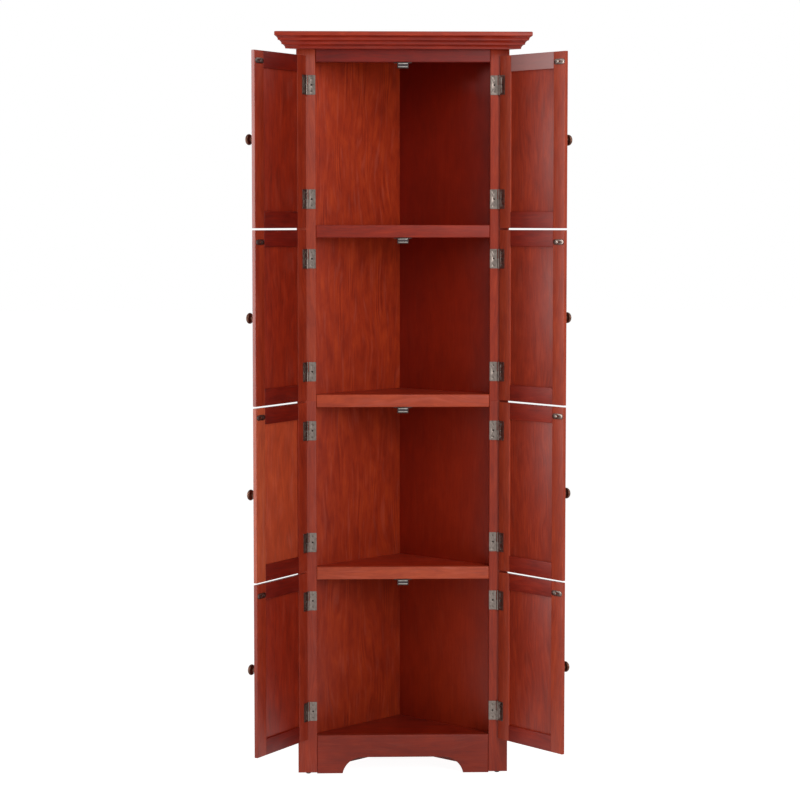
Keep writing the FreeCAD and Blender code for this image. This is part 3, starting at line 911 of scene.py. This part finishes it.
leaves = {}
for owner, middle_y in LEAF_LEVELS.items():
    leaves[owner] = stamped_leaf(middle_y, ROLL_ANGLES[owner])
    holes = [(HOLE_X, middle_y, step * HOLE_STEP) for step in (-1, 0, 1)]
    cut_by(leaves[owner], countersink_cutter(holes, LEAF_SHEET * 1.4, HOLE_RADIUS))
    round_arrises(leaves[owner], SHEET_ARRIS, 1)
    print(owner, "leaf faces:", len(leaves[owner].data.polygons))

# %% [markdown]
# A countersunk screw head is a shallow disc with a cross recess. It is turned from a cylinder, its rim is
# rounded, and two crossed bars are cut out of it. Every screw is a copy of this one.

# %% Turn one screw and one pin
SCREW_RADIUS = 2.45 * MM
SCREW_DEPTH = 0.9 * MM
CROSS_LENGTH = 2.9 * MM
CROSS_WIDTH = 0.65 * MM
CROSS_DEPTH = 0.7 * MM
PIN_SPARE_LENGTH = 1.2 * MM


def screw_head():
    """A flat screw head that faces -Y, with its top at y = 0."""
    head = disc(24, SCREW_RADIUS, SCREW_DEPTH, SCREW_DEPTH / 2)
    with editing():
        select_where(head, lambda at: at.y < SCREW_DEPTH * 0.1, "EDGE")
        bpy.ops.mesh.bevel(offset=0.25 * MM, segments=2)
    for width, height in ((CROSS_LENGTH, CROSS_WIDTH), (CROSS_WIDTH, CROSS_LENGTH)):
        bar = block(width / 2, -CROSS_DEPTH, CROSS_DEPTH, -height / 2, height / 2)
        with editing():
            select_where(bar, lambda at: at.y > 0)
            bpy.ops.transform.resize(value=(0.6, 1.0, 0.6))
        cut_by(head, bar)
    smooth(head)
    return head


def hinge_pin():
    """A pin with domed ends that runs through both knuckles."""
    length = HINGE_HEIGHT + PIN_SPARE_LENGTH
    bpy.ops.mesh.primitive_cylinder_add(vertices=24, radius=PIN_RADIUS, depth=length)
    pin = bpy.context.object
    with editing():
        select_where(pin, lambda at: abs(at.z) > length * 0.49, "EDGE")
        bpy.ops.mesh.bevel(offset=0.5 * MM, segments=3)
    smooth(pin)
    return pin


def joined_copies(master, name, matrices):
    """Copies of a master at several places, joined into one piece."""
    copies = [placed_copy(master, name + str(i), matrix) for i, matrix in enumerate(matrices)]
    joined = join(copies)
    joined.name = joined.data.name = name
    return joined


screw = screw_head()
pin = hinge_pin()
print("screw faces:", len(screw.data.polygons), "pin faces:", len(pin.data.polygons))

# %% [markdown]
# Each door has two hinges. The post's leaf lies on the post's face, and the door's leaf is turned over
# about X onto the door's back. Two screws of each leaf are plated like it, and lie nearly flush. The middle
# one is coloured near black and sits deeper, so it shows as a dark spot.

# %% Hang the hinges
TURNED_OVER = Matrix.Rotation(math.pi, 4, "X")
OUTER_SCREW_SINK = 0.15 * MM
MIDDLE_SCREW_SINK = 0.45 * MM
plated_screws, dark_screws = {}, {}
for owner, middle_y in LEAF_LEVELS.items():
    front_y = middle_y - LEAF_SHEET / 2
    outer_y, middle_screw_y = front_y + OUTER_SCREW_SINK, front_y + MIDDLE_SCREW_SINK
    outer = [Matrix.Translation((HOLE_X, outer_y, way * HOLE_STEP)) for way in (-1, 1)]
    inner = Matrix.Translation((HOLE_X, middle_screw_y, 0))
    plated_screws[owner] = joined_copies(screw, owner + "_plated_screws", outer)
    dark_screws[owner] = placed_copy(screw, owner + "_dark_screw", inner)

for name, door in doors.items():
    for place, z in (("lower", door["bottom"] + HINGE_END), ("upper", door["top"] - HINGE_END)):
        at_axis = Matrix.Translation((-hinge_axis_x, hinge_axis_y, z))
        on_post = door["mirror"] @ at_axis
        on_door = door["from_closed_left"] @ at_axis @ TURNED_OVER
        stem = name + "_" + place + "_hinge_"
        fit(pin, stem + "pin", on_post, pewter, "pewter_steel", "cabinet", "hinge_pins")
        for owner, body, matrix, node in (
            ("post", "cabinet", on_post, "post_hinge_leaves"),
            ("door", door["body"], on_door, name + "_hinge_leaves"),
        ):
            what = stem + owner
            fit(leaves[owner], what + "_leaf", matrix, pewter, "pewter_steel", body, node)
            fit(plated_screws[owner], what + "_screws", matrix, screw_steel, "pewter_steel", body)
            fit(dark_screws[owner], what + "_middle_screw", matrix, near_black_steel, "pewter_steel", body)
for master in (pin, *leaves.values(), *plated_screws.values(), *dark_screws.values()):
    bpy.data.objects.remove(master)
print("hinges hung:", 2 * len(doors))

# %% [markdown]
# ## Knobs
#
# A knob is turned or cast round: a foot, a narrow neck and a mushroom head. A profile could be spun round
# an axis for it. Here it is grown from a ring by extruding and scaling, one ring for each change in the
# profile, because the profile is then a plain list that is easy to correct. A subdivision surface smooths
# it, and rings that lie close together keep an edge crisp.

# %% Turn one knob
KNOB_PROFILE_MM = (
    (0.0, 6.6), (0.1, 7.0), (1.9, 7.0), (2.2, 6.6), (3.4, 5.1), (6.0, 4.6), (10.0, 4.5), (12.6, 6.0),
    (14.3, 10.2), (15.6, 12.6), (17.6, 13.5), (19.4, 13.4), (21.4, 12.2), (23.2, 9.2), (24.2, 5.4),
    (24.5, 2.0),
)


def turned_piece(profile_mm, sides):
    """A round piece about Z, grown ring by ring from (height, radius) pairs in millimetres."""
    first_height, first_radius = profile_mm[0]
    bpy.ops.mesh.primitive_circle_add(
        vertices=sides, radius=first_radius * MM, fill_type="NGON", location=(0, 0, first_height * MM)
    )
    piece = bpy.context.object
    bpy.ops.object.transform_apply()
    with editing():
        bpy.ops.mesh.select_all(action="SELECT")
        for (height, radius), (next_height, next_radius) in zip(profile_mm, profile_mm[1:]):
            bpy.ops.mesh.extrude_region_move(
                TRANSFORM_OT_translate={"value": (0, 0, (next_height - height) * MM)}
            )
            share = next_radius / radius
            bpy.ops.transform.resize(value=(share, share, 1.0))
    outward(piece)
    return piece


knob = turned_piece(KNOB_PROFILE_MM, 24)
rounding = knob.modifiers.new("rounding", "SUBSURF")
rounding.levels = 1
rounding.render_levels = 1
finish_modifiers(knob)
smooth(knob, 60)
print("knob faces:", len(knob.data.polygons))


def closed_box(node, door):
    """A CAD piece's box on the closed left door that this door is a copy of."""
    back = door["from_closed_left"].inverted()
    return extent([back @ vertex.co for vertex in frame["nodes"][node].data.vertices])


for name, door in doors.items():
    low, high = closed_box(name + "_knob", door)
    foot = Matrix.Translation(((low.x + high.x) / 2, high.y, (low.z + high.z) / 2))
    place = door["from_closed_left"] @ foot @ QUARTER_TURN
    fit(knob, name + "_turned_knob", place, bronze, "bronze_metal", door["body"], name + "_knob")
bpy.data.objects.remove(knob)
print("knobs fitted:", len(doors))

# %% [markdown]
# ## Strike plates
#
# A strike plate is a flat steel oblong with round ends, a hole in the middle and a screw at each side. Two
# discs and a bar could be joined, but their seams would show. So a round plate is stretched into an oblong
# by moving its two halves apart.

# %% Stamp one strike plate
STRIKE_HEIGHT = 13.0 * MM
STRIKE_LENGTH = 36.0 * MM
STRIKE_SHEET = 1.5 * MM
STRIKE_SCREW_X = 11.0 * MM
STRIKE_SCREW_RISE = 0.1 * MM
STRIKE_HOLE_RADIUS = 2.1 * MM
STRIKE_ARRIS = 0.35 * MM


def strike_plate():
    """A plate that faces +Y, with its back at y = 0."""
    plate = disc(40, STRIKE_HEIGHT / 2, STRIKE_SHEET, STRIKE_SHEET / 2)
    stretch = (STRIKE_LENGTH - STRIKE_HEIGHT) / 2
    with editing():
        for way in (-1, 1):
            select_where(plate, lambda at: at.x * way > NEAR)
            bpy.ops.transform.translate(value=(way * stretch, 0, 0))
    outward(plate)
    cut_by(plate, disc(24, STRIKE_HOLE_RADIUS, 4 * STRIKE_SHEET))
    round_arrises(plate, STRIKE_ARRIS, 2)
    return plate


strike = strike_plate()
FACING_BACK = Matrix.Rotation(math.pi, 4, "Z")
screw_y = STRIKE_SHEET + STRIKE_SCREW_RISE
strike_screws = joined_copies(
    screw,
    "strike_screws",
    [Matrix.Translation((way * STRIKE_SCREW_X, screw_y, 0)) @ FACING_BACK for way in (-1, 1)],
)
for name, door in doors.items():
    low, high = closed_box(name + "_strike_plate", door)
    place = Matrix.Translation(((low.x + high.x) / 2, low.y, (low.z + high.z) / 2))
    matrix = door["from_closed_left"] @ place
    body = door["body"]
    fit(strike, name + "_strike", matrix, pewter, "pewter_steel", body, name + "_strike_plate")
    fit(strike_screws, name + "_strike_screws", matrix, screw_steel, "pewter_steel", body)
for master in (strike, strike_screws):
    bpy.data.objects.remove(master)
print("strike plates fitted:", len(doors))

# %% [markdown]
# ## Magnetic catches
#
# Under each rail sits a magnetic catch: a moulded body with a screw ear at each side, and in it a magnet
# between two steel poles that stand a little further out, so that they and not the brittle magnet meet the
# strike plate. The body is a box whose sides are extruded into the ears, with a pocket cut into its front.

# %% Mould one catch
CATCH_WIDTH = 27.0 * MM
CATCH_HEIGHT = 14.5 * MM
posts_face_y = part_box("right_post")[0].y
CATCH_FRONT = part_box("catch_housings")[0].y - posts_face_y
CATCH_BACK = CATCH_FRONT + 18.0 * MM
CATCH_MIDDLE = -CATCH_HEIGHT / 2
EAR_REACH = 8.5 * MM
EAR_FRONT = 5.0 * MM
EAR_BACK = 14.0 * MM
EAR_SHEET = 2.0 * MM
POLE_WIDTH = 23.5 * MM
POLE_SHEET = 1.4 * MM
POLE_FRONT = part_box("catch_magnets")[0].y - posts_face_y
POLE_BACK = POLE_FRONT + 13.0 * MM
MAGNET_HEIGHT = 6.0 * MM
MAGNET_RECESS = 0.8 * MM
POCKET_PLAY = 0.15 * MM
EAR_SCREW_SINK = 0.2 * MM


def catch_body():
    """The moulded body, with its top at z = 0 and the rail's front plane at y = 0."""
    body = block(CATCH_WIDTH / 2, CATCH_FRONT, CATCH_BACK, -CATCH_HEIGHT, 0)
    with editing():
        for place, normal in (
            ((0, EAR_FRONT, 0), (0, 1, 0)), ((0, EAR_BACK, 0), (0, 1, 0)), ((0, 0, -EAR_SHEET), (0, 0, 1)),
        ):
            bpy.ops.mesh.select_all(action="SELECT")
            bpy.ops.mesh.bisect(plane_co=place, plane_no=normal)
        for way in (-1, 1):
            side = way * CATCH_WIDTH / 2
            select_where(
                body,
                lambda at: abs(at.x - side) < NEAR and EAR_FRONT < at.y < EAR_BACK and at.z > -EAR_SHEET,
                "FACE",
            )
            bpy.ops.mesh.extrude_region_move(TRANSFORM_OT_translate={"value": (way * EAR_REACH, 0, 0)})
    half = MAGNET_HEIGHT / 2 + POLE_SHEET + POCKET_PLAY
    width = POLE_WIDTH / 2 + POCKET_PLAY
    cut_by(body, block(width, CATCH_FRONT - MM, POLE_BACK, CATCH_MIDDLE - half, CATCH_MIDDLE + half))
    outward(body)
    round_arrises(body, 0.5 * MM, 2)
    return body


print("a catch is", round(CATCH_WIDTH / MM), "mm wide and", round(CATCH_HEIGHT / MM, 1), "mm high")

# %% [markdown]
# The poles are plates with their front corners rounded. The magnet is black ferrite, a ceramic that chips
# easily, so it is set back between them.

# %% Cut the poles and the magnet
def pole_plates():
    """Two steel plates with rounded front corners."""
    plates = []
    for way in (-1, 1):
        near = CATCH_MIDDLE + way * MAGNET_HEIGHT / 2
        far = near + way * POLE_SHEET
        plates.append(block(POLE_WIDTH / 2, POLE_FRONT, POLE_BACK, min(near, far), max(near, far)))
    pair = join(plates)
    with editing():
        select_where(pair, lambda at: abs(at.x) > POLE_WIDTH * 0.49 and at.y < POLE_FRONT + 0.1 * MM, "EDGE")
        bpy.ops.mesh.bevel(offset=1.2 * MM, segments=3)
    round_arrises(pair, 0.2 * MM, 1)
    return pair


def magnet_block():
    """The black magnet, set back a little between the poles."""
    front = POLE_FRONT + MAGNET_RECESS
    half = MAGNET_HEIGHT / 2
    magnet = block(POLE_WIDTH / 2, front, POLE_BACK, CATCH_MIDDLE - half, CATCH_MIDDLE + half)
    round_arrises(magnet, 0.25 * MM, 1)
    return magnet


print("the magnet is set back by", round(MAGNET_RECESS / MM, 1), "mm")

# %% [markdown]
# The catch is screwed to the rail from below through its ears. Each of its parts is made once, and a copy
# goes under the rail over each pair of doors.

# %% Fit the catches
ear_middle = CATCH_WIDTH / 2 + EAR_REACH / 2
ear_screws = joined_copies(
    screw,
    "ear_screws",
    [
        Matrix.Translation((way * ear_middle, (EAR_FRONT + EAR_BACK) / 2, -EAR_SHEET - EAR_SCREW_SINK))
        @ QUARTER_TURN
        for way in (-1, 1)
    ],
)
masters = {
    "body": (catch_body(), brown_plastic, "catch_plastic", ("catch_housings",)),
    "poles": (pole_plates(), zinc, "catch_steel", ("catch_magnets",)),
    "magnet": (magnet_block(), ferrite, "catch_steel", ()),
    "screws": (ear_screws, screw_steel, "catch_steel", ()),
}
RAILS = {
    "top": "top_rail",
    "upper": "upper_shelf_rail",
    "lower": "middle_shelf_rail",
    "bottom": "lower_shelf_rail",
}
for tier, rail in RAILS.items():
    under = Matrix.Translation((0, posts_face_y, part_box(rail)[0].z))
    for what, (master, material, slot, nodes) in masters.items():
        fit(master, tier + "_catch_" + what, under, material, slot, "cabinet", *nodes)
for master, _, _, _ in masters.values():
    bpy.data.objects.remove(master)
bpy.data.objects.remove(screw)
print("catches fitted:", len(RAILS))

# %% [markdown]
# ## Floor glides
#
# Three nylon glides with a domed foot are tacked under the posts and the rear corner. Only an edge of them
# shows, but the dome is what meets the floor, so they are grown ring by ring like the knobs.

# %% Mould the glides
GLIDE_PROFILE_MM = ((0.0, 3.5), (0.25, 4.6), (0.9, 5.7), (1.8, 6.3), (2.8, 6.5), (3.8, 6.5), (4.0, 6.3))
glide_low, glide_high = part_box("floor_glides")
glide = turned_piece(GLIDE_PROFILE_MM, 32)
smooth(glide, 50)
GLIDE_RADIUS = 6.5 * MM
glide_places = {
    "left": (glide_low.x + GLIDE_RADIUS, glide_low.y + GLIDE_RADIUS, 0),
    "right": (glide_high.x - GLIDE_RADIUS, glide_low.y + GLIDE_RADIUS, 0),
    "rear": (0, glide_high.y - GLIDE_RADIUS, 0),
}
for where, place in glide_places.items():
    at = Matrix.Translation(place)
    fit(glide, where + "_glide", at, black_nylon, "glide_plastic", "cabinet", "floor_glides")
bpy.data.objects.remove(glide)
print("glides fitted:", len(glide_places))

# %% [markdown]
# ## The world, the lamps and the floor
#
# The picture was taken in a white studio. The world shows plain white to the camera and in reflections,
# and gives the wood a gentler light.

# %% Set the world
WORLD_LIGHT = 0.12
WHITE = (1, 1, 1, 1)


def seen_directly(add):
    """One for rays from the camera, off something glossy or through something clear, and zero for others."""
    rays = add("LightPath")
    seen = add(
        "Math", {0: rays.outputs["Is Camera Ray"], 1: rays.outputs["Is Glossy Ray"]}, operation="MAXIMUM"
    )
    return add("Math", {0: seen, 1: rays.outputs["Is Transmission Ray"]}, operation="MAXIMUM")


scene = bpy.context.scene
scene.view_settings.view_transform = "Standard"
scene.world = bpy.data.worlds.new("white_studio")
scene.world.use_nodes = True
scene.world.node_tree.nodes.clear()
add = partial(add_node, scene.world.node_tree)
level = add("MapRange", {"Value": seen_directly(add), "To Min": WORLD_LIGHT})
sky = add("Background", {"Color": WHITE, "Strength": level})
add("OutputWorld", {"Surface": sky})
print("world light", WORLD_LIGHT)

# %% [markdown]
# The main lamp stands in front on the right, thirty degrees off the cabinet's axis: it lights the left inner
# panel as far as the corner, and leaves a dark gap between the right post and its doors. A tall lamp on the
# left lights the right doors and passes in front of the right inner panel, which stays dark. A third one
# hangs overhead. A white card on the left gives the free edges of the left doors their pink sheen. It is
# linked to those four stiles alone, because a card that bright would put a haze on all the lacquer.

# %% Light the studio
def soft_lamp(name, place, target, sides, power):
    """An oblong area lamp that faces a target. Its sides are in metres and its power in watts."""
    turn = (Vector(target) - Vector(place)).to_track_quat("-Z", "Y").to_euler()
    bpy.ops.object.light_add(type="AREA", location=place, rotation=turn)
    lamp = bpy.context.object
    lamp.name = name
    lamp.data.shape = "RECTANGLE"
    lamp.data.size, lamp.data.size_y = sides
    lamp.data.energy = power
    return lamp


soft_lamp("left_softbox", place=(-3.4, -1.25, 1.5), target=(0, 0, 0.9), sides=(0.6, 1.8), power=48)
soft_lamp("main_softbox", place=(2.1, -3.4, 1.8), target=(0, 0, 1.05), sides=(1.0, 1.9), power=51)
soft_lamp("overhead_softbox", place=(0.6, -3.4, 4.0), target=(0, 0, 0.9), sides=(2.0, 2.0), power=37)
card = soft_lamp(
    "left_card", place=(-3.2, -1.95, 1.8), target=(-0.35, -0.45, 1.3), sides=(1.4, 2.2), power=150
)
card.visible_diffuse = False
free_edges = bpy.data.collections.new("left_free_edges")
for tier in TIERS:
    free_edges.objects.link(bpy.data.objects[tier + "_left_free_stile"])
card.light_linking.receiver_collection = free_edges

# %% [markdown]
# The floor is white paper. It shows as plain white where nothing shades it, and keeps the cabinet's soft
# shadow: part of what the camera sees is the paper's own white, and part is the light that falls on it.

# %% Lay the floor
FLOOR_GLOW = 0.96
bpy.ops.mesh.primitive_plane_add(size=60.0, location=(0, 0, 0))
floor = bpy.context.object
floor.name = "floor"
floor_paper, add = new_material("white_paper_floor")
paper = add("BsdfDiffuse", {"Color": srgb("#f4f4f4")})
dim_paper = add("BsdfDiffuse", {"Color": srgb("#b8b8b8")})
glow = add("Emission", {"Color": WHITE, "Strength": FLOOR_GLOW})
shown = add("AddShader", {0: dim_paper, 1: glow})
mixed = add("MixShader", {0: seen_directly(add), 1: paper, 2: shown})
add("OutputMaterial", {"Surface": mixed})
floor.data.materials.append(floor_paper)
floor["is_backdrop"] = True
print("floor laid")

# %% [markdown]
# ## The dressed size
#
# The dressed cabinet has to stay inside the CAD model's size, so its size is measured and printed.

# %% Measure and finish
low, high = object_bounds()
print("dressed size in mm:", [round(side / MM) for side in high - low])
